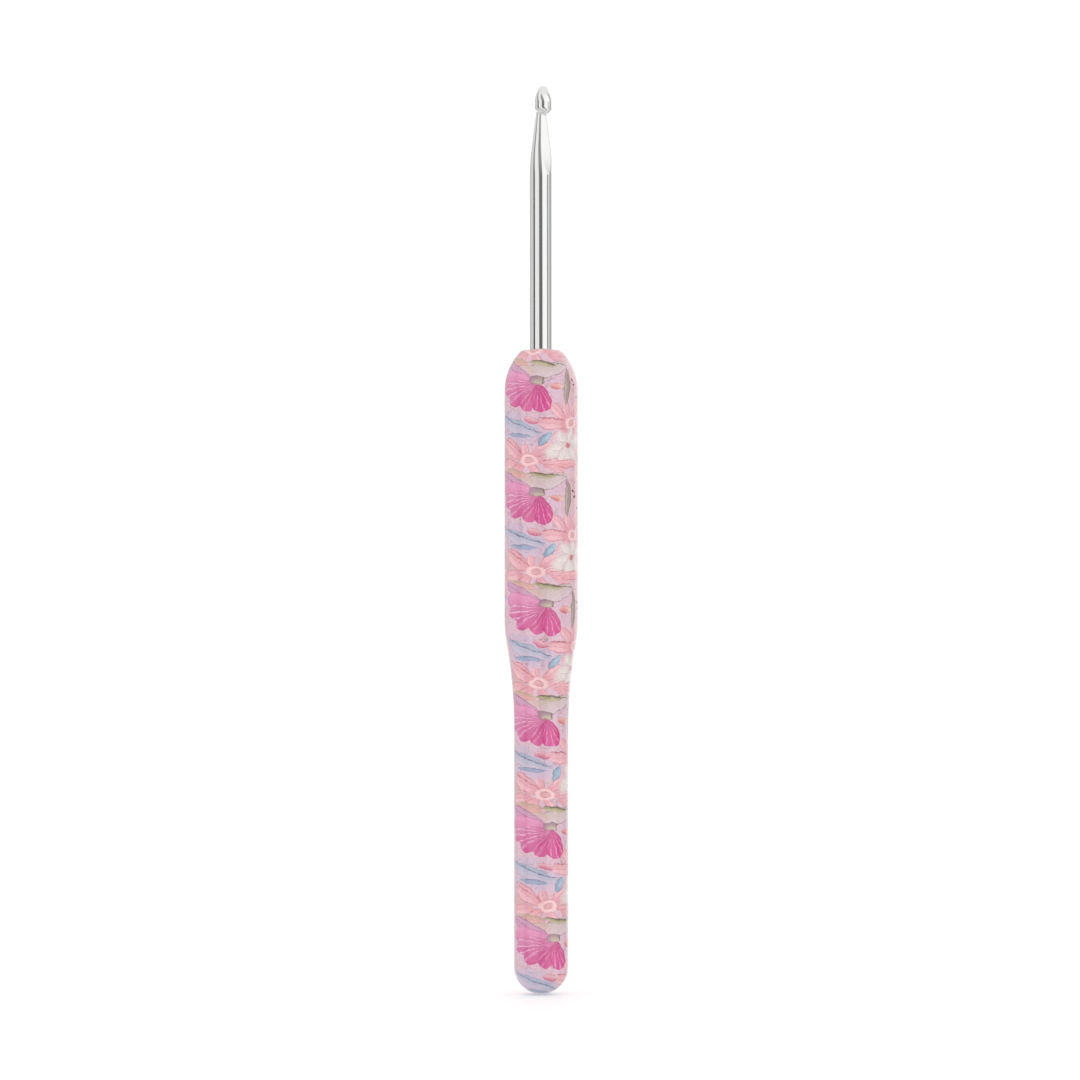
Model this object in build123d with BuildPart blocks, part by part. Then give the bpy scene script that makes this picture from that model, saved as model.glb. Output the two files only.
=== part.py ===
from build123d import *
from math import asin, atan, copysign, cos, degrees, radians, sin
import os

# Crochet hook with a polished metal shaft in a moulded, printed handle.
# Millimetres. +Z runs along the tool towards its tip, and the origin is the lowest point of the
# rounded tail, on the tool's axis. -Y is the front: the hook's mouth looks forward and to the +X side.

# ---------------------------------------------------------------- driving dimensions

total_length = 160.0
shank_radius = 2.0                  # a 4 mm hook size
mouth_angle = 40.0                  # degrees the ground face is turned from -Y towards +X
lip_angle = 55.0                    # the head leans a little further round than the face below it

# Handle: hemispherical tail, slim rear barrel, S-shaped waist, thick grip, domed shoulder.
handle_length = 113.5
rear_radius = 4.8
waist_bottom = 47.0
waist_top = 66.3
waist_inflection = 0.74             # share of the waist's height that is the hollow, lower arc
grip_radius = 6.5
dome_base = 106.1
dome_radius = 10.4                  # long arc that closes the grip in towards the shaft
dome_corner = 1.5                   # rounds the dome's arc into its small flat top

# Skins on the moulded core.
film_thickness = 0.10
coat_thickness = 0.10

# Metal shaft above the handle: a long taper from the shank to the neck, with one ground face.
throat_bottom = 144.05
throat_radius = 38.7                # arc that turns the shank's side into the taper
throat_taper = 7.4                  # degrees
taper_length = 7.2
face_bottom = 144.4                 # where the ground face runs out on the shank
face_top = 155.2
face_depth = 0.74                   # distance of the face from the axis, at its top
face_hollow = 0.10                  # how far the face is hollowed along its length

# Head: an egg, round in plan, pushed towards the mouth until its lip is in line with the shank.
head_radius = 1.5
head_offset = 0.5
barrel_bottom = 156.0
barrel_top = 157.2
nose_curve = 4.2                    # radius of the arc from the barrel to the ball of the tip
lip_length = 1.1                    # height of the rounded lip below the barrel
lip_curve = 0.4                     # radius of the arc from the barrel to the flatter underside

# Hidden tang and its seat in the handle.
collar_depth = 3.0                  # close-fitting mouth of the bore
tang_radius = 1.8                   # stepped, so that the shank's shoulder seats on the handle
tang_bottom = 52.0
tang_chamfer = 0.5
groove_heights = (66.0, 78.0, 90.0, 102.0)
groove_width = 2.0
groove_depth = 0.3
key_length = 9.0                    # pressed flats at the end of the tang, against twisting
key_flat = 1.45                     # distance of each flat from the axis
bore_radius = 2.2
bore_bottom = 50.5

# ---------------------------------------------------------------- helpers


def upright_plane(angle):
    """Plane through the tool's axis, with its x direction turned by angle from -Y towards +X."""
    across = Vector(sin(radians(angle)), -cos(radians(angle)), 0)
    return Plane(origin=(0, 0, 0), x_dir=across, z_dir=across.cross(Vector(0, 0, 1)))


mouth_plane = upright_plane(mouth_angle)
lip_plane = upright_plane(lip_angle)
head_axis = Axis(lip_plane.from_local_coords(Vector(head_offset, 0, 0)), (0, 0, 1))


def head_end(base, length, side_radius):
    """Two tangent arcs from the head's barrel to the head's axis; a length below zero points down."""
    size = abs(length)
    way = copysign(1, length)
    pole_radius = (head_radius**2 - 2 * head_radius * side_radius + size**2) / (2 * (size - side_radius))
    sweep = way * degrees(atan((size - pole_radius) / (side_radius - head_radius)))
    side = CenterArc((head_offset + head_radius - side_radius, base), side_radius, 0, sweep)
    pole = CenterArc((head_offset, base + way * (size - pole_radius)), pole_radius, sweep, way * 90 - sweep)
    return side, pole


def handle_section(inset):
    """Half section of the handle, with its whole surface moved inward by inset."""
    rear = rear_radius - inset
    grip = grip_radius - inset
    top = handle_length - inset
    dome_sweep = degrees(asin((top - dome_base) / (dome_radius - inset)))
    with BuildSketch() as section:
        with BuildLine():
            tail = CenterArc((0, rear_radius), rear, -90, 90)
            barrel = Line(tail @ 1, (rear, waist_bottom))
            waist = Vector(grip, waist_top) - barrel @ 1
            hollow = TangentArc(barrel @ 1, barrel @ 1 + waist * waist_inflection, tangent=(0, 1))
            swell = TangentArc(hollow @ 1, (grip, waist_top), tangent=hollow % 1)
            Line(swell @ 1, (grip, dome_base))
            dome = CenterArc((grip_radius - dome_radius, dome_base), dome_radius - inset, 0, dome_sweep)
            Polyline(dome @ 1, (0, top), tail @ 0)
        make_face()
        shoulder = section.vertices().group_by(Axis.Y)[-1].sort_by(Axis.X)[-1]
        fillet(shoulder, dome_corner - inset)
    return section.sketch


def shell_section(outer_inset, inner_inset):
    """Half section of a skin between two insets, open at the top where the tang passes."""
    with BuildSketch() as section:
        add(handle_section(outer_inset))
        add(handle_section(inner_inset), mode=Mode.SUBTRACT)
        with Locations((0, handle_length)):
            Rectangle(2 * tang_radius, 2 * collar_depth, mode=Mode.SUBTRACT)
    return section.sketch


# ---------------------------------------------------------------- hook_shaft

# One metal rod: a stepped tang below, the shank, and the taper to the slim neck.
with BuildPart() as hook_shaft:
    with BuildSketch(Plane.XZ):
        with BuildLine():
            side = Polyline(
                (0, tang_bottom),
                (tang_radius - tang_chamfer, tang_bottom),
                (tang_radius, tang_bottom + tang_chamfer),
                (tang_radius, handle_length),
                (shank_radius, handle_length),
                (shank_radius, throat_bottom),
            )
            throat = CenterArc((shank_radius - throat_radius, throat_bottom), throat_radius, 0, throat_taper)
            taper = PolarLine(throat @ 1, taper_length, 90 + throat_taper)
            neck = taper @ 1
            Polyline(neck, (neck.X, barrel_top), (0, barrel_top), side @ 0)
        make_face()
    revolve(axis=Axis.Z)

    # Rings cut round the tang, where the adhesive keys.
    with BuildSketch(Plane.XZ):
        with Locations([(tang_radius, height) for height in groove_heights]):
            Rectangle(2 * groove_depth, groove_width)
    revolve(axis=Axis.Z, mode=Mode.SUBTRACT)

    # Two flats pressed into the end of the tang.
    with BuildSketch(Plane.XY.offset(tang_bottom)):
        with Locations((0, key_flat + tang_radius / 2), (0, -key_flat - tang_radius / 2)):
            Rectangle(3 * tang_radius, tang_radius)
    extrude(amount=key_length, mode=Mode.SUBTRACT)

    # Long face ground on the mouth's side, slightly hollow, from the shank up into the mouth.
    with BuildSketch(mouth_plane):
        with BuildLine():
            face = SagittaArc((shank_radius, face_bottom), (face_depth, face_top), face_hollow)
            Polyline(face @ 1, (2 * shank_radius, face_top), (2 * shank_radius, face_bottom), face @ 0)
        make_face()
    extrude(amount=2 * shank_radius, both=True, mode=Mode.SUBTRACT)

    # Head: nose, barrel and the rounded lip that overhangs the mouth.
    with BuildSketch(lip_plane):
        with BuildLine():
            nose, tip = head_end(barrel_top, total_length - barrel_top, nose_curve)
            lip, underside = head_end(barrel_bottom, -lip_length, lip_curve)
            Line(lip @ 0, nose @ 0)
            Line(tip @ 1, underside @ 1)
        make_face()
    revolve(axis=head_axis)

# ---------------------------------------------------------------- handle_core

# Moulded plastic body with a blind bore: a close collar at its mouth, a wider glue chamber below.
skin = film_thickness + coat_thickness
chamber_length = handle_length - collar_depth - bore_bottom
with BuildPart() as handle_core:
    with BuildSketch(Plane.XZ):
        add(handle_section(skin))
        with Locations((0, handle_length)):
            Rectangle(2 * tang_radius, 2 * collar_depth, mode=Mode.SUBTRACT)
        with Locations((0, bore_bottom)):
            Rectangle(2 * bore_radius, chamber_length, align=(Align.CENTER, Align.MIN), mode=Mode.SUBTRACT)
    revolve(axis=Axis.Z)

# ---------------------------------------------------------------- adhesive

# Cured resin that fills the glue chamber round the tang, its rings and its flats.
with BuildPart() as adhesive:
    with BuildSketch(Plane.XY.offset(bore_bottom)):
        Circle(bore_radius)
    extrude(amount=chamber_length)
    add(hook_shaft.part, mode=Mode.SUBTRACT)

# ---------------------------------------------------------------- print_film

# Decorated film shrunk over the core, from the tail to the shaft.
with BuildPart() as print_film:
    with BuildSketch(Plane.XZ):
        add(shell_section(coat_thickness, skin))
    revolve(axis=Axis.Z)

# ---------------------------------------------------------------- clear_coat

# Clear lacquer over the film, the handle's outer surface.
with BuildPart() as clear_coat:
    with BuildSketch(Plane.XZ):
        add(shell_section(0, coat_thickness))
    revolve(axis=Axis.Z)

# ---------------------------------------------------------------- files

hook_shaft.part.label = "hook_shaft"
handle_core.part.label = "handle_core"
adhesive.part.label = "adhesive"
print_film.part.label = "print_film"
clear_coat.part.label = "clear_coat"

os.makedirs("parts", exist_ok=True)
for piece in (hook_shaft, handle_core, adhesive, print_film, clear_coat):
    export_step(piece.part, f"parts/{piece.part.label}.step")
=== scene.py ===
import math

import bpy
import numpy as np
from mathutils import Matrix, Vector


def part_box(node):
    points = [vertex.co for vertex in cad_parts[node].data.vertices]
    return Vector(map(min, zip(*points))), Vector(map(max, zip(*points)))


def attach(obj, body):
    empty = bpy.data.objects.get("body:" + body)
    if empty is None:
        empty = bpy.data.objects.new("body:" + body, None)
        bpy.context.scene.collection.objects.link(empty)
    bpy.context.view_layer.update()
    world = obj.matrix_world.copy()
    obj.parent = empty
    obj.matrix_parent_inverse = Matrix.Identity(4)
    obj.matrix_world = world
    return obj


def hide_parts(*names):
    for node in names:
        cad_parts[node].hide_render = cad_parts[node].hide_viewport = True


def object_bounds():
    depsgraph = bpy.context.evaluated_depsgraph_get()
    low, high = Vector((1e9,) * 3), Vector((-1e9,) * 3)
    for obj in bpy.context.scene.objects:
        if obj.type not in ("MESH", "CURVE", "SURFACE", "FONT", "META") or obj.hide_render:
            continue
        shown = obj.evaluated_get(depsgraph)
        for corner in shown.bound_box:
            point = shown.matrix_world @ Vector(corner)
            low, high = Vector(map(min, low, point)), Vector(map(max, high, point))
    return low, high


# A crochet hook: a polished metal shaft in a glossy handle with a floral print.
# The hook stands on its tail, with its axis on Z and its printed front towards -Y. Dimensions are in
# millimetres and degrees unless a name or comment says otherwise, and MM turns them into metres.

MM = 0.001

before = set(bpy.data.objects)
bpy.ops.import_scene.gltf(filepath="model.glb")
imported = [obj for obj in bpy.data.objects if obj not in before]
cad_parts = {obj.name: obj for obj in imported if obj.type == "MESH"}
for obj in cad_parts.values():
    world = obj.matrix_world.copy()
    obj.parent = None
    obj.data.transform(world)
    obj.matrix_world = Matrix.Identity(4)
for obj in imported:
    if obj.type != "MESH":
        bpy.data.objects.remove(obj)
cad_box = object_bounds()

# ---------------------------------------------------------------- dimensions

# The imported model's own dimensions, for the pieces meshed again below. The grip's radius is the least
# half width of its box, so that the finer mesh stays inside it.
handle_low, handle_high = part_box("clear_coat")
HANDLE_TOP = handle_high.z / MM
GRIP_RADIUS = min(-handle_low.x, handle_high.x, -handle_low.y, handle_high.y) / MM
SHAFT_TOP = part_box("hook_shaft")[1].z / MM

REAR_RADIUS = 4.8
WAIST_BOTTOM, WAIST_TOP = 47.0, 66.3
WAIST_INFLECTION = 0.74            # share of the waist's height that is its lower, hollow arc
DOME_BASE, DOME_RADIUS, DOME_CORNER = 106.1, 10.4, 1.5
SKIN_THICKNESS = 0.2               # film and lacquer together
SKIN_HOLE = 1.9                    # a little wider than the tang, and hidden under the shank

SHANK_RADIUS = 2.0
THROAT_BOTTOM, THROAT_RADIUS, THROAT_TAPER, TAPER_LENGTH = 144.05, 38.7, 7.4, 7.2
MOUTH_ANGLE = 40.0                 # from -Y towards +X, as is the next
LIP_ANGLE = 55.0
FACE_BOTTOM, FACE_TOP, FACE_DEPTH, FACE_HOLLOW = 144.4, 155.2, 0.74, 0.10
HEAD_RADIUS, HEAD_OFFSET = 1.5, 0.5
BARREL_BOTTOM, BARREL_TOP = 156.0, 157.2
NOSE_CURVE, LIP_LENGTH, LIP_CURVE = 4.2, 1.1, 0.4
TANG_RADIUS, TANG_BOTTOM, TANG_CHAMFER = 1.8, 52.0, 0.5
GROOVE_HEIGHTS, GROOVE_WIDTH, GROOVE_DEPTH = (66.0, 78.0, 90.0, 102.0), 2.0, 0.3

# The print: mm round from the front and up to the foot of one calyx, and how far the film has crept
# round the handle at some heights, as height and creep.
PRINT_AT = (-0.88, 87.6)
PRINT_DRIFT = (
    (0, 3.0), (11, 3.0), (20, 2.2), (32, 2.4), (40, 1.6), (50, 1.4), (55, 0.9), (60, 1.3), (67, 1.6),
    (70, 1.6), (75, 0.3), (85, 0.0), (89, 0.0), (95, -1.0), (100, -0.4), (106, -0.2), (113.5, 0.0),
)

# The skin's baked layout, as shares of the picture: each strip's left edge and width.
LOWER_STRIP = (0.01, 0.47)
UPPER_STRIP = (0.5, 0.47)
HIDDEN_STRIP = (0.985, 0.01)
STRIP_BOTTOM, STRIP_HEIGHT = 0.01, 0.98

# Faces round the meshes, and the angles above which their edges are shaded as sharp.
SKIN_AROUND = 144
SHAFT_AROUND = 192
SKIN_SHARP = 40
SHAFT_SHARP = 25

# ---------------------------------------------------------------- shader node helpers


def put(tree, kind, inputs=None, **settings):
    """Adds a node. Each input is a plain value or the output socket of another node."""
    node = tree.nodes.new(kind)
    for name, value in settings.items():
        setattr(node, name, value)
    for key, value in (inputs or {}).items():
        if isinstance(value, bpy.types.NodeSocket):
            tree.links.new(value, node.inputs[key])
        else:
            node.inputs[key].default_value = value
    return node


def maths(tree, operation, first, second=0.0, third=0.0):
    return put(tree, "ShaderNodeMath", {0: first, 1: second, 2: third}, operation=operation).outputs[0]


def ramp(tree, value, low, high, to_low=0.0, to_high=1.0):
    """Smooth step of value from low to high."""
    inputs = {"Value": value, "From Min": low, "From Max": high, "To Min": to_low, "To Max": to_high}
    return put(tree, "ShaderNodeMapRange", inputs, interpolation_type="SMOOTHSTEP", clamp=False).outputs[0]


def blend_colour(tree, share, first, second, mode="MIX"):
    node = put(tree, "ShaderNodeMix", data_type="RGBA", blend_type=mode)
    for socket, value in ((node.inputs[0], share), (node.inputs[6], first), (node.inputs[7], second)):
        if isinstance(value, bpy.types.NodeSocket):
            tree.links.new(value, socket)
        else:
            socket.default_value = value
    return node.outputs[2]


def blend_value(tree, share, first, second):
    return put(tree, "ShaderNodeMix", {0: share, 2: first, 3: second}, data_type="FLOAT").outputs[0]


def noise(tree, place, scale, detail=2.0, roughness=0.5):
    inputs = {"Vector": place, "Scale": scale, "Detail": detail, "Roughness": roughness}
    return put(tree, "ShaderNodeTexNoise", inputs)


def object_place(tree, scale):
    """Object coordinates, in metres, stretched by scale along each axis."""
    place = put(tree, "ShaderNodeTexCoord").outputs["Object"]
    return put(tree, "ShaderNodeVectorMath", {0: place, 1: scale}, operation="MULTIPLY").outputs[0]


def bump(tree, height, depth, normal=None):
    """Surface relief: height runs from 0 to 1 over depth metres."""
    inputs = {"Height": height, "Distance": depth, "Strength": 1.0}
    if normal:
        inputs["Normal"] = normal
    return put(tree, "ShaderNodeBump", inputs).outputs[0]


def rgb(red, green, blue):
    """A linear colour from screen values of 0 to 255."""
    def linear(value):
        share = value / 255
        return share / 12.92 if share <= 0.04045 else ((share + 0.055) / 1.055) ** 2.4
    return (linear(red), linear(green), linear(blue), 1.0)


def new_material(name):
    material = bpy.data.materials.new(name)
    material.use_nodes = True
    material.node_tree.nodes.clear()
    return material, material.node_tree


def finish_material(tree, inputs):
    shader = put(tree, "ShaderNodeBsdfPrincipled", inputs)
    put(tree, "ShaderNodeOutputMaterial", {"Surface": shader.outputs[0]})


# ---------------------------------------------------------------- the floral print

# The print repeats in a brick lattice on the film: every TILE_WIDTH round the handle the pattern
# comes again half a tile further along. Lengths are millimetres on the film.
TILE_HEIGHT = 19.54
TILE_WIDTH = 20.42
WOBBLE = 0.8                       # how far the brush's edges wander
# Depth of the lacquer's pores and of its slow ripple, in metres.
PORE_DEPTH = 0.000004
RIPPLE_DEPTH = 0.00003


def motif_group():
    """Node group that gives a place on the film as seen from one motif of the repeating print.

    Along runs from -1 to 1 over the motif's length, Across is 0 on its midline and 1 on its edge,
    Depth is the size of Across, Radius is 1 on the ellipse with the motif's half sizes, and Fan is
    constant along straight lines from the root, where Along is -1.
    """
    tree = bpy.data.node_groups.new("motif", "ShaderNodeTree")
    place = ("X", "Y", "Centre X", "Centre Y", "Turn")
    shape = ("Half Length", "Half Width", "Bend", "Point", "Taper")
    for name in place + shape:
        tree.interface.new_socket(name, in_out="INPUT", socket_type="NodeSocketFloat")
    for name in ("Along", "Across", "Depth", "Radius", "Fan"):
        tree.interface.new_socket(name, in_out="OUTPUT", socket_type="NodeSocketFloat")
    given = put(tree, "NodeGroupInput").outputs
    right = maths(tree, "SUBTRACT", given["X"], given["Centre X"])
    around = maths(tree, "WRAP", right, TILE_WIDTH / 2, -TILE_WIDTH / 2)
    skipped = maths(tree, "SUBTRACT", around, right)
    above = maths(tree, "SUBTRACT", given["Y"], given["Centre Y"])
    shifted = maths(tree, "MULTIPLY_ADD", skipped, TILE_HEIGHT / 2 / TILE_WIDTH, above)
    up = maths(tree, "WRAP", shifted, TILE_HEIGHT / 2, -TILE_HEIGHT / 2)
    cosine = maths(tree, "COSINE", given["Turn"])
    sine = maths(tree, "SINE", given["Turn"])
    forward = maths(tree, "MULTIPLY_ADD", up, sine, maths(tree, "MULTIPLY", around, cosine))
    backward = maths(tree, "MULTIPLY", around, sine)
    sideways = maths(tree, "SUBTRACT", maths(tree, "MULTIPLY", up, cosine), backward)
    along = maths(tree, "DIVIDE", forward, given["Half Length"])
    side = maths(tree, "DIVIDE", sideways, given["Half Width"])
    square = maths(tree, "MULTIPLY", along, along)
    radius = maths(tree, "SQRT", maths(tree, "MULTIPLY_ADD", side, side, square))
    rest = maths(tree, "MAXIMUM", maths(tree, "SUBTRACT", 1.0, square), 0.0)
    bow = maths(tree, "MULTIPLY", rest, given["Bend"])
    straight = maths(tree, "SUBTRACT", side, bow)
    width = maths(tree, "POWER", rest, given["Point"])
    lean = maths(tree, "MULTIPLY_ADD", along, given["Taper"], 1.0)
    leaned = maths(tree, "MULTIPLY", width, lean)
    across = maths(tree, "DIVIDE", straight, maths(tree, "MAXIMUM", leaned, 0.001))
    beyond = maths(tree, "GREATER_THAN", square, 1.0)
    depth = maths(tree, "MULTIPLY_ADD", beyond, 10.0, maths(tree, "ABSOLUTE", across))
    from_root = maths(tree, "MAXIMUM", maths(tree, "ADD", along, 1.0), 0.1)
    fan = maths(tree, "DIVIDE", side, from_root)
    results = {"Along": along, "Across": across, "Depth": depth, "Radius": radius, "Fan": fan}
    put(tree, "NodeGroupOutput", results)
    return tree


class Print:
    """A watercolour print built up motif by motif in one node tree.

    A petal or leaf points from its root to its tip by turn, in degrees from the print's x direction,
    and its left and right sides are as seen along that way.
    """

    def __init__(self, tree, place, ground):
        self.tree = tree
        self.colour = ground
        self.group = motif_group()
        wobble = noise(tree, place, 0.7, 2.0, 0.4).outputs["Color"]
        centred = put(tree, "ShaderNodeVectorMath", {0: wobble, 1: (0.5, 0.5, 0.5)}, operation="SUBTRACT")
        drawn = put(
            tree,
            "ShaderNodeVectorMath",
            {0: centred.outputs[0], 1: (WOBBLE, WOBBLE, 0.0), 2: place},
            operation="MULTIPLY_ADD",
        )
        self.place = put(tree, "ShaderNodeSeparateXYZ", {0: drawn.outputs[0]}).outputs
        patches = noise(tree, place, 1.7, 2.0).outputs[0]
        self.pressure = ramp(tree, patches, 0.34, 0.62, 0.3, 1.0)

    def motif(self, at, half, turn=0.0, bend=0.0, point=0.5, taper=0.0):
        inputs = {
            "X": self.place[0],
            "Y": self.place[1],
            "Centre X": at[0],
            "Centre Y": at[1],
            "Turn": math.radians(turn),
            "Half Length": half[0],
            "Half Width": half[1],
            "Bend": bend,
            "Point": point,
            "Taper": taper,
        }
        return put(self.tree, "ShaderNodeGroup", inputs, node_tree=self.group).outputs

    def lay(self, share, colour):
        self.colour = blend_colour(self.tree, share, self.colour, colour)

    def wash(self, at, half, colour, turn=0.0, strength=1.0):
        """A soft patch of ground colour."""
        seen = self.motif(at, half, turn)
        self.lay(ramp(self.tree, seen["Radius"], 1.3, 0.4, 0.0, strength), colour)

    def oval(self, at, half, colour, turn=0.0, soft=0.12):
        """A filled ellipse."""
        seen = self.motif(at, half, turn)
        self.lay(ramp(self.tree, seen["Radius"], 1 + soft, 1 - soft), colour)

    def petal(self, at, half, left, right, turn=0.0, bend=0.0, point=0.5, taper=0.0,
              root=None, line=None, line_width=0.3, veins=0.0, vein=None, strength=1.0, fan=False):
        """A petal or leaf, shaded from side to side and towards its root, with an outline and veins."""
        tree = self.tree
        seen = self.motif(at, half, turn, bend, point, taper)
        body = blend_colour(tree, ramp(tree, seen["Across"], -0.9, 0.9), right, left)
        if root:
            body = blend_colour(tree, ramp(tree, seen["Along"], 0.1, -1.0), body, root)
        if vein:
            spread = seen["Fan"] if fan else seen["Across"]
            crest = maths(tree, "COSINE", maths(tree, "MULTIPLY", spread, veins * 2 * math.pi))
            streak = maths(tree, "MULTIPLY", ramp(tree, crest, 0.45, 1.0), self.pressure)
            body = blend_colour(tree, streak, body, vein)
        if line:
            rim = ramp(tree, seen["Depth"], 1 - line_width, 0.97)
            body = blend_colour(tree, maths(tree, "MULTIPLY", rim, self.pressure), body, line)
        self.lay(ramp(tree, seen["Depth"], 1.08, 0.96, 0.0, strength), body)

    def stroke(self, start, end, width, colour, bend=0.0, strength=0.85):
        """A brush line, thick in the middle and pointed at both ends. Bend is in widths."""
        length = math.dist(start, end)
        at = ((start[0] + end[0]) / 2, (start[1] + end[1]) / 2)
        turn = math.degrees(math.atan2(end[1] - start[1], end[0] - start[0]))
        seen = self.motif(at, (length / 2, width / 2), turn, bend, 0.35)
        mark = ramp(self.tree, seen["Depth"], 1.4, 0.5, 0.0, strength)
        self.lay(maths(self.tree, "MULTIPLY", mark, self.pressure), colour)

    def flower(self, at, petals, ring, heart, heart_half, **look):
        """An open flower: petals, each its offset, half sizes and turn, then a ring and its heart."""
        for across, up, long_half, wide_half, turn in petals:
            self.petal((at[0] + across, at[1] + up), (long_half, wide_half), turn=turn, taper=0.3, **look)
        self.oval(at, (heart_half[0] * 1.8, heart_half[1] * 1.8), ring)
        self.petal(at, heart_half, heart, heart, turn=4, line=look["line"], line_width=0.4)


def ground_washes(paint):
    """Soft changes in the colour of the ground."""
    paint.wash(at=(3.4, 0.2), half=(1.9, 3.4), colour=rgb(219, 184, 202))
    paint.wash(at=(8.6, 0.5), half=(2.6, 4.4), colour=rgb(226, 184, 190))
    paint.wash(at=(-2.2, -8.2), half=(5.4, 2.4), colour=rgb(206, 186, 208))
    paint.wash(at=(-4.6, -5.4), half=(3.4, 1.0), colour=rgb(208, 184, 204))
    paint.wash(at=(-6.4, -13.0), half=(3.8, 2.6), colour=rgb(220, 176, 180))
    paint.wash(at=(2.6, -12.6), half=(3.4, 1.4), colour=rgb(226, 180, 184))
    paint.wash(at=(9.6, -12.6), half=(2.4, 2.6), colour=rgb(232, 186, 190))


def pencil_lines(paint, place):
    """Thin, faint contour lines that wander between the motifs."""
    tree = paint.tree
    for scale, level, colour in ((0.34, 0.5, rgb(196, 146, 158)), (0.42, 0.58, rgb(176, 150, 158))):
        height = noise(tree, place, scale, 1.0).outputs[0]
        away = maths(tree, "ABSOLUTE", maths(tree, "SUBTRACT", height, level))
        mark = ramp(tree, away, 0.016, 0.004, 0.0, 0.75)
        paint.lay(maths(tree, "MULTIPLY", mark, paint.pressure), colour)


def coral_flowers(paint):
    """The two big open flowers, one at the right and one lower down at the left."""
    look = {
        "left": rgb(240, 188, 195),
        "right": rgb(231, 170, 180),
        "root": rgb(226, 154, 164),
        "line": rgb(200, 118, 132),
        "line_width": 0.22,
        "veins": 1.0,
        "vein": rgb(222, 156, 164),
    }
    ring = rgb(246, 202, 204)
    heart = rgb(224, 170, 174)
    paint.flower((-0.5, -13.2), (
        (-4.6, -0.6, 2.2, 0.9, 186),
        (-2.6, -1.7, 2.0, 0.9, 215),
        (4.4, -1.3, 2.0, 0.7, -14),
        (0.6, -1.9, 1.6, 0.8, -70),
        (3.2, -0.1, 1.9, 0.6, 2),
        (-3.3, 1.8, 3.0, 1.35, 148),
        (2.3, 1.7, 1.9, 0.95, 34),
        (-0.6, 1.7, 1.1, 0.7, 110),
    ), ring, heart, (0.95, 0.55), **look)
    paint.flower((7.4, -6.7), (
        (-2.3, -1.8, 1.7, 0.8, 215),
        (1.4, -2.0, 1.5, 0.9, -50),
        (3.2, 0.0, 1.8, 1.0, 5),
        (0.9, 2.4, 1.8, 1.0, 65),
        (-1.3, 2.3, 1.6, 0.75, 112),
        (-2.9, 1.8, 2.1, 0.85, 138),
        (-3.9, -0.1, 2.7, 1.0, 177),
    ), ring, heart, (0.8, 0.6), **look)
    outline = rgb(182, 98, 110)
    paint.stroke((0.8, -5.8), (5.6, -6.2), 0.3, outline, bend=1.0)
    paint.stroke((-6.6, -9.3), (-1.6, -12.0), 0.26, outline, bend=1.0)
    paint.stroke((2.0, -13.3), (6.8, -12.8), 0.28, outline, bend=1.0)


def white_flower(paint):
    """A soft cream flower: patches of thin paint with faintly drawn petals on them."""
    cream = rgb(228, 216, 212)
    paint.wash((4.4, -11.4), (2.3, 1.5), cream, turn=30)
    paint.wash((6.9, -12.4), (2.0, 1.3), cream, turn=-20)
    paint.wash((8.3, -10.2), (1.9, 1.5), rgb(232, 214, 208), turn=30)
    paint.wash((5.4, -9.3), (1.8, 1.2), rgb(224, 208, 208), turn=-35)
    heart = (6.9, -10.6)
    for turn in (22, 76, 128, 186, 238, 306):
        angle = math.radians(turn)
        at = (heart[0] + 1.8 * math.cos(angle), heart[1] + 1.3 * math.sin(angle))
        paint.petal(at, (1.6, 0.72), turn=turn, left=rgb(234, 224, 220), right=rgb(222, 206, 206),
                    root=rgb(220, 196, 192), line=rgb(206, 166, 172), line_width=0.22, taper=0.3)
    paint.petal(heart, (0.62, 0.44), turn=4, left=rgb(204, 122, 134), right=rgb(204, 122, 134),
                line=rgb(184, 100, 118))


def blue_leaves(paint):
    line = rgb(112, 118, 142)
    paint.petal((-3.5, -7.3), (5.2, 1.15), turn=163, left=rgb(204, 190, 208), right=rgb(174, 178, 198),
                point=0.9, veins=0.7, vein=rgb(186, 184, 204), line=rgb(150, 152, 176), line_width=0.12)
    paint.stroke((-8.0, -5.0), (1.6, -8.4), 0.26, line, bend=-1.6, strength=1.0)
    paint.petal((-2.95, -8.8), (2.85, 0.38), turn=175, left=rgb(166, 174, 200), right=rgb(150, 158, 186),
                point=0.6, line=line, line_width=0.4)
    paint.petal((2.2, -9.4), (1.6, 0.75), turn=50, left=rgb(152, 172, 196), right=rgb(172, 194, 212),
                root=rgb(140, 152, 176), line=line, line_width=0.35, point=0.7,
                veins=1.0, vein=rgb(184, 204, 218))


def buds(paint):
    """Small coral and pink buds between the flowers."""
    paint.petal((3.9, -0.25), (1.3, 0.58), turn=174, left=rgb(204, 112, 116), right=rgb(232, 172, 166),
                root=rgb(238, 200, 190), line=rgb(204, 122, 122), point=0.5)
    paint.petal((-0.5, -6.2), (1.45, 0.62), turn=168, left=rgb(206, 116, 144), right=rgb(232, 182, 192),
                line=rgb(192, 100, 124), point=0.5)
    paint.petal((6.4, -13.8), (2.6, 0.8), turn=2, left=rgb(240, 182, 188), right=rgb(232, 164, 172),
                line=rgb(190, 100, 114), point=0.4, veins=1.0, vein=rgb(226, 152, 162))


def cup_flower(paint):
    """The pale cup behind the calyx, with its brown pencil lines."""
    line = rgb(140, 112, 112)
    paint.petal((1.2, 2.9), (5.2, 1.4), turn=10, left=rgb(206, 186, 182), right=rgb(216, 192, 200),
                line=line, line_width=0.16, point=0.6, bend=-0.35)
    paint.petal((-3.4, 3.2), (3.4, 1.4), turn=160, left=rgb(226, 190, 198), right=rgb(212, 180, 170),
                taper=0.2)
    paint.petal((-3.6, 4.1), (2.3, 0.7), turn=172, left=rgb(228, 170, 168), right=rgb(204, 166, 150),
                line=rgb(164, 134, 122), line_width=0.2)


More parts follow.
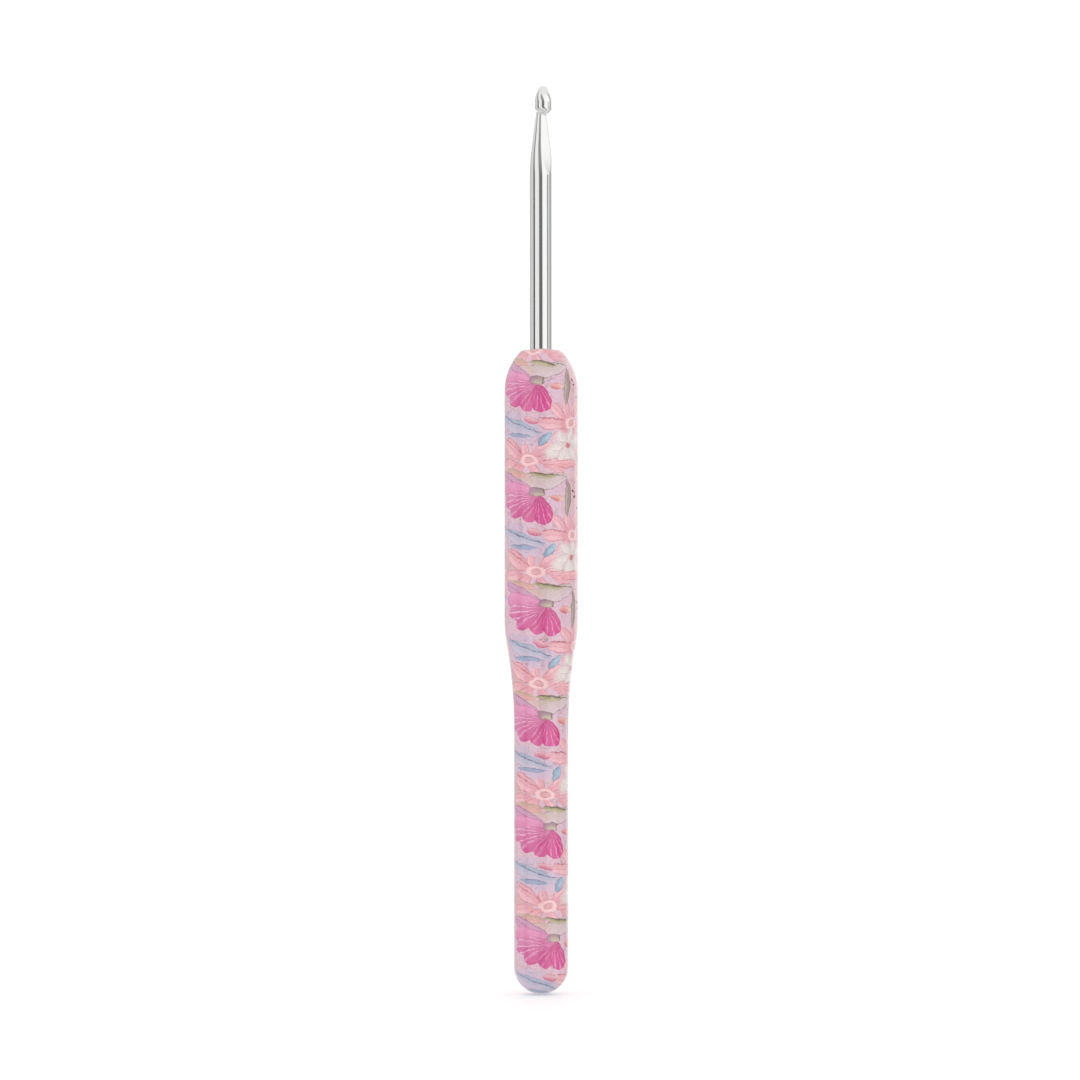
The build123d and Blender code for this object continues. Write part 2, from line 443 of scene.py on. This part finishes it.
def olive_leaves(paint):
    line = rgb(106, 82, 78)
    paint.petal((1.3, 3.8), (2.6, 0.48), turn=-7, left=rgb(152, 142, 104), right=rgb(198, 184, 152),
                point=0.7, veins=1.0, vein=rgb(150, 138, 108))
    paint.stroke((-1.0, 4.45), (6.2, 3.55), 0.24, line, bend=-0.8, strength=1.0)
    paint.petal((5.9, -0.1), (3.5, 0.72), turn=-93, left=rgb(160, 136, 130), right=rgb(186, 170, 160),
                root=rgb(164, 140, 146), line=line, line_width=0.3, bend=0.4, point=0.8,
                veins=1.0, vein=rgb(150, 130, 126))


def stamens(paint):
    maroon = rgb(86, 34, 54)
    paint.oval((7.6, 1.0), (0.34, 0.24), maroon, turn=-20, soft=0.3)
    paint.stroke((7.5, 1.1), (8.5, 0.1), 0.22, maroon, bend=1.2)
    paint.oval((8.1, 0.05), (0.42, 0.22), maroon, turn=12, soft=0.3)
    paint.oval((9.3, -2.0), (0.34, 0.22), maroon, soft=0.3)


def side_spray(paint):
    """A loose spray of small blossoms and leaves up the side, between one repeat and the next."""
    stem = rgb(140, 118, 116)
    paint.stroke((10.6, -9.0), (11.2, -2.0), 0.22, stem, bend=2.0)
    paint.stroke((11.2, -2.2), (10.9, 7.8), 0.22, stem, bend=-3.0)
    for at, half, turn, left, right in (
        ((11.7, -0.6), (1.4, 0.5), 64, rgb(168, 152, 128), rgb(194, 180, 156)),
        ((10.5, -6.6), (1.5, 0.5), 112, rgb(150, 164, 192), rgb(176, 188, 210)),
        ((11.5, -7.6), (1.3, 0.42), 58, rgb(162, 172, 198), rgb(186, 190, 210)),
        ((10.5, 6.6), (1.3, 0.5), 118, rgb(168, 150, 140), rgb(196, 182, 160)),
        ((11.2, 8.8), (1.2, 0.55), 84, rgb(216, 134, 150), rgb(238, 186, 190)),
    ):
        paint.petal(at, half, turn=turn, left=left, right=right, line=stem, line_width=0.25, point=0.7,
                    root=right)
    look = {
        "left": rgb(240, 200, 190),
        "right": rgb(232, 180, 178),
        "line": rgb(196, 128, 134),
        "line_width": 0.2,
    }
    for at in ((11.1, 3.2), (11.0, -3.9)):
        petals = []
        for turn in (18, 90, 162, 234, 306):
            angle = math.radians(turn)
            petals.append((1.0 * math.cos(angle), 1.0 * math.sin(angle), 0.85, 0.6, turn))
        paint.flower(at, petals, rgb(246, 214, 206), rgb(212, 140, 148), (0.34, 0.3), **look)


def magenta_flower(paint):
    """The big flower that hangs from a grey-green calyx and fans out downwards."""
    deep = rgb(210, 66, 136)
    line = rgb(158, 104, 142)
    paint.petal((-4.2, 2.6), (4.0, 1.0), turn=157, left=rgb(214, 150, 186), right=rgb(206, 156, 184),
                taper=0.3, line=line, line_width=0.3)
    paint.stroke((-7.6, 4.2), (-1.4, 1.2), 0.22, line, bend=-1.0)
    paint.petal((-3.9, 0.9), (4.2, 1.5), turn=172, left=rgb(216, 124, 170), right=rgb(230, 150, 188),
                taper=0.3, line=rgb(206, 116, 160), line_width=0.12,
                veins=0.6, vein=rgb(224, 136, 178), fan=True)
    paint.petal((-0.8, -2.1), (2.6, 1.5), turn=240, left=rgb(214, 92, 150), right=rgb(206, 84, 144),
                taper=0.3, root=rgb(198, 74, 134), veins=1.3, vein=rgb(222, 126, 172), fan=True)
    paint.petal((-2.6, -1.6), (3.2, 1.5), turn=210, left=rgb(212, 92, 150), right=rgb(208, 108, 158),
                taper=0.3, root=rgb(200, 84, 140), line=rgb(200, 78, 136),
                veins=1.3, vein=rgb(226, 148, 188), fan=True)
    paint.petal((-3.6, -0.5), (3.9, 1.45), turn=187, left=rgb(212, 104, 158), right=rgb(216, 130, 170),
                taper=0.3, root=rgb(206, 98, 150), veins=2.1, vein=rgb(238, 186, 212), fan=True)
    paint.petal((1.1, -2.4), (2.5, 1.65), turn=-75, left=deep, right=rgb(216, 84, 150),
                taper=0.3, point=0.45, root=rgb(194, 68, 128), line=rgb(198, 56, 120),
                veins=2.3, vein=rgb(232, 150, 196), fan=True)
    paint.petal((0.15, 0.8), (1.35, 0.72), turn=-4, left=rgb(164, 134, 142), right=rgb(206, 188, 170),
                point=0.15, root=rgb(178, 128, 154), line=rgb(142, 116, 114))
    paint.stroke((1.4, 1.35), (1.35, 0.1), 0.3, rgb(110, 92, 84))


def build_print(tree, place):
    """Everything on one tile of the film. The origin is the foot of the magenta flower's calyx."""
    paint = Print(tree, place, rgb(223, 186, 200))
    ground_washes(paint)
    pencil_lines(paint, place)
    side_spray(paint)
    coral_flowers(paint)
    white_flower(paint)
    blue_leaves(paint)
    cup_flower(paint)
    olive_leaves(paint)
    buds(paint)
    stamens(paint)
    magenta_flower(paint)
    granules = noise(tree, place, 2.6, 5.0, 0.7).outputs[0]
    pigment = ramp(tree, granules, 0.25, 0.75, 0.9, 1.1)
    shade = put(tree, "ShaderNodeCombineColor", {0: pigment, 1: pigment, 2: pigment}).outputs[0]
    return blend_colour(tree, 1.0, paint.colour, shade, mode="MULTIPLY")


def printed_skin_material():
    material, tree = new_material("printed_film_lacquered")
    film = put(tree, "ShaderNodeUVMap", uv_map="print").outputs[0]
    colour = build_print(tree, film)
    ripple = noise(tree, film, 0.35, 2.0).outputs[0]
    pores = noise(tree, film, 5.0, 2.0).outputs[0]
    rubbed = noise(tree, film, 0.12, 4.0, 0.65).outputs[0]
    inputs = {
        "Base Color": colour,
        "Roughness": ramp(tree, rubbed, 0.35, 0.7, 0.3, 0.46),
        "Normal": bump(tree, pores, PORE_DEPTH, bump(tree, ripple, RIPPLE_DEPTH)),
        "Coat Weight": 1.0,
        "Coat Roughness": 0.1,
        "Coat IOR": 1.5,
    }
    finish_material(tree, inputs)
    return material


# ---------------------------------------------------------------- metal, plastic and resin

# In metres: how far the shaft's edges look rounded, and the depth of its polishing lines.
EDGE_RADIUS = 0.0003
METAL_GRAIN = 0.00000015


def polished_metal():
    """Bright metal: turned and polished, so its finest lines run round the shaft."""
    material, tree = new_material("polished_metal")
    smears = noise(tree, object_place(tree, (260, 260, 90)), 1.0, 3.0).outputs[0]
    lines = noise(tree, object_place(tree, (300, 300, 9000)), 1.0, 3.0, 0.6).outputs[0]
    scratches = noise(tree, object_place(tree, (9000, 9000, 260)), 1.0, 2.0).outputs[0]
    tint = ramp(tree, smears, 0.3, 0.7)
    polish = ramp(tree, lines, 0.35, 0.75, 0.035, 0.075)
    wear = ramp(tree, scratches, 0.62, 0.72, 0.0, 0.07)
    film = ramp(tree, smears, 0.5, 0.75, 0.0, 0.03)
    roughness = maths(tree, "ADD", maths(tree, "ADD", polish, wear), film)
    rounded = put(tree, "ShaderNodeBevel", {"Radius": EDGE_RADIUS}, samples=8).outputs[0]
    inputs = {
        "Base Color": blend_colour(tree, tint, (0.92, 0.915, 0.9, 1.0), (0.9, 0.905, 0.91, 1.0)),
        "Metallic": 1.0,
        "Roughness": roughness,
        "Normal": bump(tree, lines, METAL_GRAIN, rounded),
    }
    finish_material(tree, inputs)
    return material


def handle_plastic():
    """Pale moulded plastic of the handle's inside, with a faint flow pattern and a matt grain."""
    material, tree = new_material("handle_plastic")
    flow = noise(tree, object_place(tree, (120, 120, 30)), 1.0, 4.0).outputs[0]
    grain = noise(tree, object_place(tree, (2500, 2500, 2500)), 1.0, 3.0).outputs[0]
    inputs = {
        "Base Color": blend_colour(tree, ramp(tree, flow, 0.3, 0.7), rgb(232, 226, 222), rgb(214, 208, 204)),
        "Roughness": ramp(tree, grain, 0.3, 0.7, 0.42, 0.6),
        "Normal": bump(tree, grain, 0.00001),
    }
    finish_material(tree, inputs)
    return material


def set_resin():
    """The glue round the tang: amber resin with small bubbles."""
    material, tree = new_material("set_resin")
    cloud = noise(tree, object_place(tree, (400, 400, 200)), 1.0, 3.0).outputs[0]
    cells = put(tree, "ShaderNodeTexVoronoi", {"Vector": object_place(tree, (900, 900, 900)), "Scale": 1.0})
    bubbles = ramp(tree, cells.outputs["Distance"], 0.3, 0.12)
    inputs = {
        "Base Color": blend_colour(tree, ramp(tree, cloud, 0.3, 0.7), rgb(206, 178, 128), rgb(226, 204, 160)),
        "Roughness": ramp(tree, cloud, 0.3, 0.7, 0.2, 0.35),
        "Normal": bump(tree, bubbles, 0.00003),
    }
    finish_material(tree, inputs)
    return material


# ---------------------------------------------------------------- profiles and turned meshes


def metres(points):
    """Radius and height in metres, from millimetres."""
    return [(max(radius, 0.0) * MM, height * MM) for radius, height in points]


def arc(centre, radius, start, end, steps):
    """Points on an arc in the (radius, height) plane, from start to end in degrees, end left out."""
    angles = np.radians(np.linspace(start, end, steps, endpoint=False))
    return [(centre[0] + radius * math.cos(a), centre[1] + radius * math.sin(a)) for a in angles]


def straight(start, end, steps):
    """Points on a line, end left out."""
    shares = np.linspace(0, 1, steps, endpoint=False)
    return [tuple(np.array(start) * (1 - s) + np.array(end) * s) for s in shares]


def handle_outline(inset, fine):
    """Half section of the handle, moved inward by inset.

    It gets about fine points to a millimetre, and more on its round ends.
    """

    def steps(length):
        return max(2, round(length * fine))

    rear = REAR_RADIUS - inset
    grip = GRIP_RADIUS - inset
    top = HANDLE_TOP - inset
    dome, corner = DOME_RADIUS - inset, DOME_CORNER - inset
    rise = WAIST_TOP - WAIST_BOTTOM
    waist_radii = (rise**2 + (grip - rear) ** 2) / (2 * (grip - rear))
    hollow, swell = waist_radii * WAIST_INFLECTION, waist_radii * (1 - WAIST_INFLECTION)
    lean = math.degrees(math.asin(rise / waist_radii))
    dome_x = grip - dome
    corner_z = top - corner
    corner_x = dome_x + math.sqrt((dome - corner) ** 2 - (corner_z - DOME_BASE) ** 2)
    meet = math.degrees(math.atan2(corner_z - DOME_BASE, corner_x - dome_x))
    points = arc((0, REAR_RADIUS), rear, -90, 0, steps(math.pi * REAR_RADIUS))
    points += straight((rear, REAR_RADIUS), (rear, WAIST_BOTTOM), steps(WAIST_BOTTOM - REAR_RADIUS))
    points += arc((rear + hollow, WAIST_BOTTOM), hollow, 180, 180 - lean, steps(rise * WAIST_INFLECTION))
    points += arc((grip - swell, WAIST_TOP), swell, -lean, 0, steps(rise * (1 - WAIST_INFLECTION)))
    points += straight((grip, WAIST_TOP), (grip, DOME_BASE), steps(DOME_BASE - WAIST_TOP))
    points += arc((dome_x, DOME_BASE), dome, 0, meet, steps(2 * math.radians(meet) * dome))
    points += arc((corner_x, corner_z), corner, meet, 90, steps(4 * corner))
    points += straight((corner_x, top), (SKIN_HOLE, top), 3)
    points.append((SKIN_HOLE, top))
    return metres(points)


def revolve(name, outline, around):
    """Mesh of revolution about Z, from an outline that runs from pole to pole.

    Returns the object and, for each face, its corners as the outline's point and the step round.
    """
    first, last = outline[0], outline[-1]
    rings = outline[1:-1]
    vertices = [(0.0, 0.0, first[1])]
    for radius, height in rings:
        for step in range(around):
            angle = 2 * math.pi * step / around - math.pi
            vertices.append((radius * math.sin(angle), -radius * math.cos(angle), height))
    vertices.append((0.0, 0.0, last[1]))
    end = len(vertices) - 1
    faces = []
    corners = []

    def index(ring, step):
        return 1 + ring * around + step % around

    for step in range(around):
        faces.append((0, index(0, step + 1), index(0, step)))
        corners.append(((0, step + 0.5), (1, step + 1), (1, step)))
    for ring in range(len(rings) - 1):
        for step in range(around):
            near = (index(ring, step), index(ring, step + 1))
            far = (index(ring + 1, step + 1), index(ring + 1, step))
            faces.append(near + far)
            corners.append(((ring + 1, step), (ring + 1, step + 1), (ring + 2, step + 1), (ring + 2, step)))
    for step in range(around):
        faces.append((index(len(rings) - 1, step), index(len(rings) - 1, step + 1), end))
        corners.append(((len(rings), step), (len(rings), step + 1), (len(rings) + 1, step + 0.5)))
    mesh = bpy.data.meshes.new(name)
    mesh.from_pydata(vertices, [], faces)
    mesh.update()
    piece = bpy.data.objects.new(name, mesh)
    bpy.context.scene.collection.objects.link(piece)
    return piece, corners


def printed_skin():
    """The film and its lacquer as one closed shell, with the film's own coordinates as a UV map."""
    outer = handle_outline(0.0, 2.0)
    inner = handle_outline(SKIN_THICKNESS, 0.5)
    outline = outer + inner[::-1]
    skin, corners = revolve("printed_skin", outline, SKIN_AROUND)
    lengths = np.concatenate(([0.0], np.cumsum(np.linalg.norm(np.diff(np.array(outline), axis=0), axis=1))))
    outer_length = lengths[len(outer) - 1]
    film = skin.data.uv_layers.new(name="print")
    bake = skin.data.uv_layers.new(name="OFBake")
    film_places = []
    bake_places = []
    drift = np.interp(np.array(outline)[:, 1] / MM, *zip(*PRINT_DRIFT))
    halfway = int(np.searchsorted(lengths, outer_length / 2))
    for face in corners:
        hidden = max(ring for ring, _ in face) >= len(outer)
        upper = min(ring for ring, _ in face) >= halfway
        for ring, step in face:
            radius, height = outline[ring]
            angle = 2 * math.pi * step / SKIN_AROUND - math.pi
            film_places.append((radius * angle / MM - drift[ring] - PRINT_AT[0], height / MM - PRINT_AT[1]))
            bake_places.append(bake_place(lengths[ring] / outer_length, step / SKIN_AROUND, upper, hidden))
    film.data.foreach_set("uv", np.array(film_places, np.float32).ravel())
    bake.data.foreach_set("uv", np.array(bake_places, np.float32).ravel())
    skin.data.shade_smooth()
    skin.data.set_sharp_from_angle(angle=math.radians(SKIN_SHARP))
    return skin


def bake_place(share, turn, upper, hidden):
    """Place in the baked layout: two strips side by side, and the unseen inner side in a thin third."""
    if hidden:
        strip, height = HIDDEN_STRIP, min(max(share - 1, 0.0), 1.0)
    elif upper:
        strip, height = UPPER_STRIP, share * 2 - 1
    else:
        strip, height = LOWER_STRIP, share * 2
    return strip[0] + strip[1] * turn, STRIP_BOTTOM + STRIP_HEIGHT * height


# ---------------------------------------------------------------- the metal shaft and its head


def shaft_outline():
    """Half section of the tang, the shank and the taper, from the tang's end to inside the head."""
    points = [(0, TANG_BOTTOM), (TANG_RADIUS - TANG_CHAMFER, TANG_BOTTOM)]
    points.append((TANG_RADIUS, TANG_BOTTOM + TANG_CHAMFER))
    for height in GROOVE_HEIGHTS:
        low, high = height - GROOVE_WIDTH / 2, height + GROOVE_WIDTH / 2
        floor_radius = TANG_RADIUS - GROOVE_DEPTH
        points += [(TANG_RADIUS, low), (floor_radius, low), (floor_radius, high), (TANG_RADIUS, high)]
    points += [(TANG_RADIUS, HANDLE_TOP), (SHANK_RADIUS, HANDLE_TOP)]
    points += arc((SHANK_RADIUS - THROAT_RADIUS, THROAT_BOTTOM), THROAT_RADIUS, 0, THROAT_TAPER, 16)
    lean = math.radians(THROAT_TAPER)
    start = (
        SHANK_RADIUS - THROAT_RADIUS * (1 - math.cos(lean)),
        THROAT_BOTTOM + THROAT_RADIUS * math.sin(lean),
    )
    neck = (start[0] - TAPER_LENGTH * math.sin(lean), start[1] + TAPER_LENGTH * math.cos(lean))
    points += straight(start, neck, 24)
    points += [neck, (neck[0], BARREL_TOP), (0, BARREL_TOP)]
    return metres(points)


def head_end(base, length, side_radius, steps):
    """Two tangent arcs from the barrel of the head to its axis; a length below zero points down."""
    size = abs(length)
    way = math.copysign(1, length)
    pole_radius = (HEAD_RADIUS**2 - 2 * HEAD_RADIUS * side_radius + size**2) / (2 * (size - side_radius))
    sweep = way * math.degrees(math.atan((size - pole_radius) / (side_radius - HEAD_RADIUS)))
    side = arc((HEAD_RADIUS - side_radius, base), side_radius, 0, sweep, steps)
    pole = arc((0, base + way * (size - pole_radius)), pole_radius, sweep, way * 90, steps)
    return side + pole + [(0, base + length)]


def head_outline():
    lip = head_end(BARREL_BOTTOM, -LIP_LENGTH, LIP_CURVE, 14)
    nose = head_end(BARREL_TOP, SHAFT_TOP - BARREL_TOP, NOSE_CURVE, 24)
    return metres(lip[::-1] + straight((HEAD_RADIUS, BARREL_BOTTOM), (HEAD_RADIUS, BARREL_TOP), 6)[1:] + nose)


def face_cutter():
    """The metal that grinding takes off the mouth's side, as a prism across the mouth."""
    start, end = (SHANK_RADIUS, FACE_BOTTOM), (FACE_DEPTH, FACE_TOP)
    chord = math.dist(start, end)
    outside = 2 * SHANK_RADIUS
    steps = 32
    outline = []
    for step in range(steps + 1):
        share = step / steps
        bow = FACE_HOLLOW * 4 * share * (1 - share)
        radius = start[0] + (end[0] - start[0]) * share - bow * (end[1] - start[1]) / chord
        height = start[1] + (end[1] - start[1]) * share + bow * (end[0] - start[0]) / chord
        outline.append((radius, height))
    outline += [(outside, FACE_TOP), (outside, FACE_BOTTOM)]
    turn = math.radians(MOUTH_ANGLE)
    vertices = []
    for across in (-outside, outside):
        for radius, height in outline:
            x = radius * math.sin(turn) + across * math.cos(turn)
            y = -radius * math.cos(turn) + across * math.sin(turn)
            vertices.append((x * MM, y * MM, height * MM))
    count = len(outline)
    faces = [tuple(range(count - 1, -1, -1)), tuple(range(count, 2 * count))]
    for step in range(count):
        following = (step + 1) % count
        faces.append((step, following, following + count, step + count))
    mesh = bpy.data.meshes.new("face_cutter")
    mesh.from_pydata(vertices, [], faces)
    for face in mesh.polygons:
        face.material_index = 1
    piece = bpy.data.objects.new("face_cutter", mesh)
    bpy.context.scene.collection.objects.link(piece)
    return piece


def combine(piece, other, operation):
    """Joins or cuts piece by other, which is used up. Faces keep their material numbers, 0 or 1."""
    step = piece.modifiers.new(operation.lower(), "BOOLEAN")
    step.operation = operation
    step.object = other
    step.solver = "EXACT"
    for part in (piece, other):
        while len(part.material_slots) < 2:
            part.data.materials.append(None)
    bpy.context.view_layer.update()
    result = piece.evaluated_get(bpy.context.evaluated_depsgraph_get())
    mesh = bpy.data.meshes.new_from_object(result)
    piece.modifiers.clear()
    piece.data = mesh
    bpy.data.objects.remove(other)


def crisp_face(mesh):
    """Marks the rim of the ground face, whose faces the cutter left with material 1, as sharp."""
    kinds = {}
    for face in mesh.polygons:
        for edge in face.edge_keys:
            kinds.setdefault(edge, set()).add(face.material_index)
    for edge in mesh.edges:
        if len(kinds[edge.key]) > 1:
            edge.use_edge_sharp = True
    for face in mesh.polygons:
        face.material_index = 0


def metal_hook():
    """The tang, shank and taper with their ground face, and the head with its lip."""
    hook, _ = revolve("hook", shaft_outline(), SHAFT_AROUND)
    combine(hook, face_cutter(), "DIFFERENCE")
    head, _ = revolve("head", head_outline(), SHAFT_AROUND)
    turn = math.radians(LIP_ANGLE)
    for vertex in head.data.vertices:
        vertex.co.x += HEAD_OFFSET * MM * math.sin(turn)
        vertex.co.y -= HEAD_OFFSET * MM * math.cos(turn)
    combine(hook, head, "UNION")
    hook.data.shade_smooth()
    hook.data.set_sharp_from_angle(angle=math.radians(SHAFT_SHARP))
    crisp_face(hook.data)
    return hook


hook = metal_hook()
hook.data.materials.clear()
hook.data.materials.append(polished_metal())
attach(hook, "root")
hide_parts("hook_shaft")

skin = printed_skin()
skin.data.materials.append(printed_skin_material())
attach(skin, "root")
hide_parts("print_film", "clear_coat")

for node, material in (
    ("handle_core", handle_plastic()),
    ("adhesive", set_resin()),
):
    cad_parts[node].data.materials[0] = material

# ---------------------------------------------------------------- floor, light and camera

# Studio panels: start and end azimuth in degrees, 0 at the camera and plus to the right, and brightness.
PANELS = (
    (-18, 18, 0.13),
    (-62, -18, 0.88),
    (-82, -62, 0.03),
    (-118, -82, 0.66),
    (-156, -118, 0.52),
    (18, 66, 1.02),
    (66, 80, 0.22),
    (80, 98, 0.7),
    (98, 130, 0.38),
)
PANEL_BLUR = 3
# A bright card to the right, above the camera's height: its azimuths and brightness.
CARD = (50, 100, 1.03)
# How far the panels fade to white a little above the horizon, and to the floor's glow below it.
HAZE = 0.2
FLOOR_HAZE = 0.72
FLOOR_GLOW = 0.7
# Brightness of the ceiling in reflections, of the light on dull surfaces, and of the backdrop.
OVERHEAD = 0.86
FILL = 1.0
BACKDROP = 1.05
WHITE = (1.0, 1.0, 1.0, 1.0)
FLOOR_SIDE = 3.0                   # half the floor's width, in metres
FLOOR_COLOUR = (0.8, 0.8, 0.8, 1.0)
FLOOR_LIGHT = 0.26                 # its own light, which keeps it as white as the backdrop
CAMERA_DISTANCE = 0.793            # metres
CAMERA_SHIFT = -0.0002             # metres to the left, as the hook stands in the photograph
LENS, SENSOR = 150, 36


def floor():
    side = FLOOR_SIDE
    corners = ((-side, -side, 0), (side, -side, 0), (side, side, 0), (-side, side, 0))
    mesh = bpy.data.meshes.new("floor")
    mesh.from_pydata(corners, [], [(0, 1, 2, 3)])
    piece = bpy.data.objects.new("floor", mesh)
    bpy.context.scene.collection.objects.link(piece)
    material, tree = new_material("white_floor")
    finish_material(tree, {
        "Base Color": FLOOR_COLOUR,
        "Roughness": 0.6,
        "Emission Color": WHITE,
        "Emission Strength": FLOOR_LIGHT,
    })
    mesh.materials.append(material)
    piece.visible_glossy = False


def studio_world():
    """White for the camera and for dull surfaces; in reflections, soft panels with dark gaps.

    The panels lean: they turn to the left as they rise.
    """
    world = bpy.data.worlds.new("studio")
    bpy.context.scene.world = world
    world.use_nodes = True
    tree = world.node_tree
    tree.nodes.clear()
    direction = put(tree, "ShaderNodeTexCoord").outputs["Generated"]
    x, y, height = put(tree, "ShaderNodeSeparateXYZ", {0: direction}).outputs
    front = maths(tree, "MULTIPLY", y, -1.0)
    azimuth = maths(tree, "ARCTAN2", x, front)
    rise = maths(tree, "ARCSINE", height)
    leaned = maths(tree, "ADD", azimuth, rise)
    degrees = maths(tree, "MULTIPLY", leaned, 180 / math.pi)

    def between(start, end):
        """1 between two azimuths."""
        rising = ramp(tree, degrees, start - PANEL_BLUR, start + PANEL_BLUR)
        falling = ramp(tree, degrees, end + PANEL_BLUR, end - PANEL_BLUR)
        return maths(tree, "MULTIPLY", rising, falling)

    level = 1.0
    for start, end, value in PANELS:
        level = blend_value(tree, between(start, end), level, value)
    level = blend_value(tree, ramp(tree, height, 0.0, 0.25, 0.0, HAZE), level, 1.0)
    level = blend_value(tree, ramp(tree, height, -0.2, -0.6, 0.0, FLOOR_HAZE), level, FLOOR_GLOW)
    card_start, card_end, card_level = CARD
    card = maths(tree, "MULTIPLY", between(card_start, card_end), ramp(tree, height, 0.08, 0.12))
    level = blend_value(tree, card, level, card_level)
    level = blend_value(tree, ramp(tree, height, 0.42, 0.75), level, OVERHEAD)
    shade = put(tree, "ShaderNodeCombineColor", {0: level, 1: level, 2: level}).outputs[0]
    panels = put(tree, "ShaderNodeBackground", {"Color": shade, "Strength": 1.0}).outputs[0]
    fill = put(tree, "ShaderNodeBackground", {"Color": WHITE, "Strength": FILL}).outputs[0]
    backdrop = put(tree, "ShaderNodeBackground", {"Color": WHITE, "Strength": BACKDROP}).outputs[0]
    ray = put(tree, "ShaderNodeLightPath").outputs
    light = put(tree, "ShaderNodeMixShader", {0: ray["Is Glossy Ray"], 1: fill, 2: panels}).outputs[0]
    mixed = put(tree, "ShaderNodeMixShader", {0: ray["Is Camera Ray"], 1: light, 2: backdrop}).outputs[0]
    put(tree, "ShaderNodeOutputWorld", {"Surface": mixed})
    world.cycles.sampling_method = "NONE"


def camera():
    """Level view along +Y, centred on the hook, from far enough away to be nearly parallel."""
    middle_height = (cad_box[0][2] + cad_box[1][2]) / 2
    lens = bpy.data.cameras.new("camera")
    lens.lens = LENS
    lens.sensor_width = SENSOR
    piece = bpy.data.objects.new("camera", lens)
    piece.location = (CAMERA_SHIFT, -CAMERA_DISTANCE, middle_height)
    piece.rotation_euler = (math.radians(90), 0, 0)
    bpy.context.scene.collection.objects.link(piece)
    bpy.context.scene.camera = piece


floor()
studio_world()
camera()
bpy.context.scene.view_settings.view_transform = "Standard"
